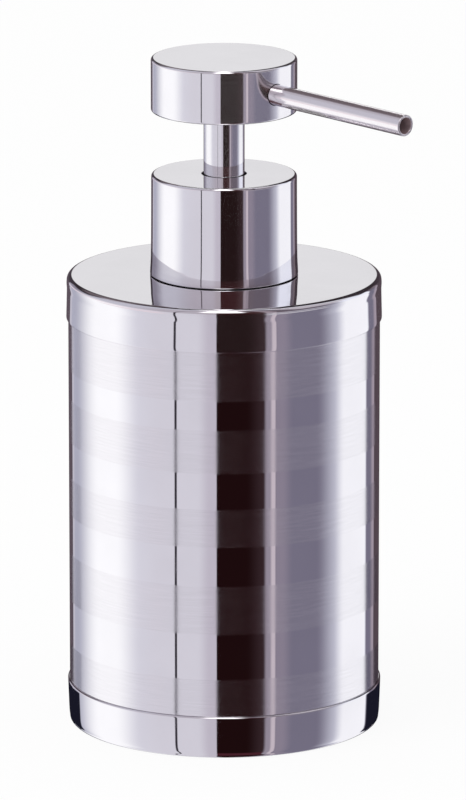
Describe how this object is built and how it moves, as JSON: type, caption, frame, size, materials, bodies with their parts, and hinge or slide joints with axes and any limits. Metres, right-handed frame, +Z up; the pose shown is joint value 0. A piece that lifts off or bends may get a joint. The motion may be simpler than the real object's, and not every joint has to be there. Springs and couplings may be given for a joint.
{
  "type": "soap dispenser",
  "caption": "Free-standing steel soap dispenser: banded cylinder with inner bottle, and a screw-on lotion pump with disc head and long straight nozzle.",
  "frame": {"origin": "centre of the foot pad's underside, on the body's axis", "axes": "+Z up along the body's axis, +X from the axis towards the nozzle's tip at rest, in millimetres in the source and metres here"},
  "size_m": [0.1034, 0.08, 0.172],
  "materials": {
    "polished_steel": "mirror polished stainless steel",
    "banded_steel": "polished stainless steel with five bands of fine lines brushed around it",
    "foot_rubber": "matt foam rubber",
    "seal_rubber": "smooth dark rubber",
    "bottle_plastic": "blow-moulded natural polypropylene",
    "pump_plastic": "smooth moulded white polypropylene",
    "soft_plastic": "soft natural polyethylene",
    "spring_steel": "bright drawn stainless steel"
  },
  "bodies": {
    "dispenser_body": {"foot_pad": "foot_rubber", "base_cup": "polished_steel", "body_shell": "banded_steel", "top_lid": "polished_steel", "inner_bottle": "bottle_plastic"},
    "gasket": {"neck_gasket": "soft_plastic"},
    "pump": {"pump_housing": "pump_plastic", "pump_guide": "pump_plastic", "stem_wiper": "seal_rubber", "ball_cage": "pump_plastic", "return_spring": "spring_steel", "dip_tube": "soft_plastic"},
    "collar": {"collar_cover": "polished_steel", "collar_closure": "pump_plastic"},
    "inlet_valve": {"inlet_ball": "spring_steel"},
    "plunger": {"piston_stem": "pump_plastic", "piston_seal": "soft_plastic"},
    "outlet_valve": {"outlet_ball": "spring_steel"},
    "head": {"head_cover": "polished_steel", "head_insert": "pump_plastic", "stem_sleeve": "polished_steel", "nozzle_tube": "polished_steel", "nozzle_seal": "seal_rubber"}
  },
  "joints": [
    {"name": "pump_lift_off", "type": "slide", "parent": "dispenser_body", "child": "gasket", "axis": [0, 0, 1], "range_m": [0, 0.13]},
    {"name": "thread_rise", "type": "slide", "parent": "gasket", "child": "pump", "axis": [0, 0, 1], "range_m": [0, 0.0053]},
    {"name": "collar_turn", "type": "hinge", "parent": "pump", "child": "collar", "pos_m": [0, 0, 0.13], "axis": [0, 0, 1], "range_deg": [0, 450]},
    {"name": "pump_stroke", "type": "slide", "parent": "pump", "child": "plunger", "axis": [0, 0, -1], "range_m": [0, 0.014], "stiffness_N_per_m": 600, "springref_m": -0.015, "deforming": ["return_spring"]},
    {"name": "head_swivel", "type": "hinge", "parent": "plunger", "child": "head", "pos_m": [0, 0, 0.165], "axis": [0, 0, 1], "continuous": true},
    {"name": "inlet_ball_lift", "type": "slide", "parent": "pump", "child": "inlet_valve", "axis": [0, 0, 1], "range_m": [0, 0.0015]},
    {"name": "outlet_ball_lift", "type": "slide", "parent": "plunger", "child": "outlet_valve", "axis": [0, 0, 1], "range_m": [0, 0.001]}
  ],
  "couplings": [
    {"joint": "thread_rise", "follows": "collar_turn", "m_per_rad": 0.00067322}
  ]
}
